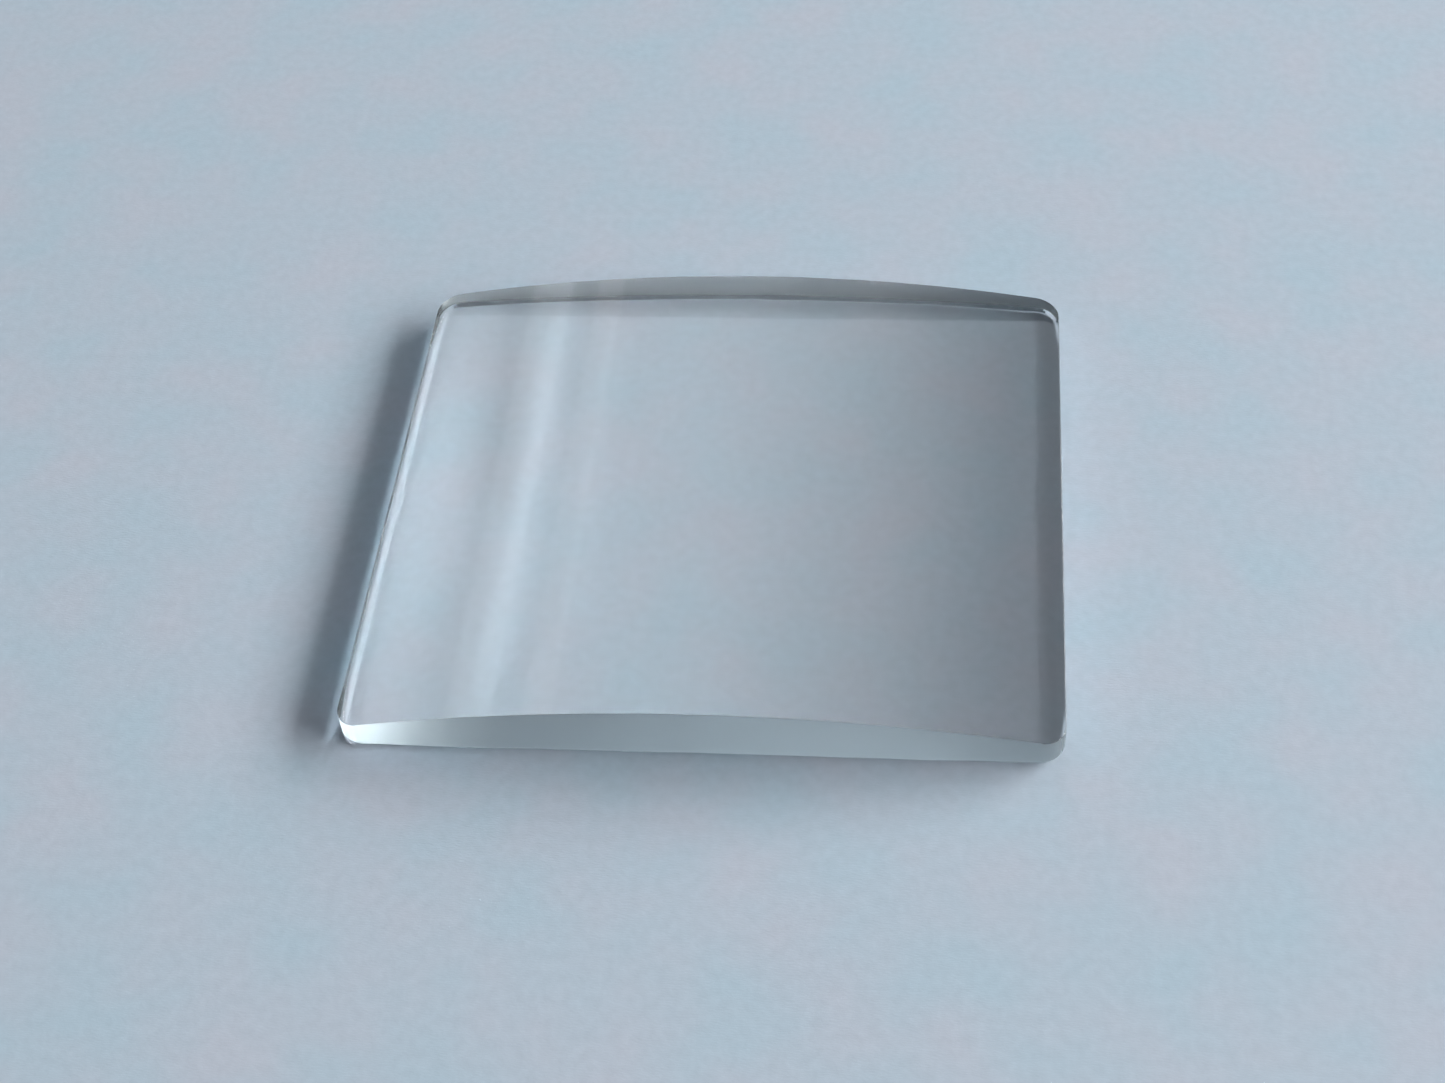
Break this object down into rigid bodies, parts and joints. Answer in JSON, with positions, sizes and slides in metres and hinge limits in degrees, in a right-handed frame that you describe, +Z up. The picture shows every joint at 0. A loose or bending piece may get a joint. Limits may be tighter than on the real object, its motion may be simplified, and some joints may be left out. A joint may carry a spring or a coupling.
{
  "type": "rectangular wristwatch crystal",
  "caption": "Clear rectangular wristwatch glass with a flat underside, a cylindrically domed top, upright ground edges and rounded plan corners.",
  "frame": {"origin": "middle of the flat underside", "axes": "+Z up out of the domed face, +X across the dome, along the glass's longer side, +Y along the dome's straight direction"},
  "size_m": [0.03, 0.027, 0.0027],
  "materials": {
    "clear_glass": "polished"
  },
  "bodies": {
    "root": {"crystal": "clear_glass"}
  },
  "joints": []
}
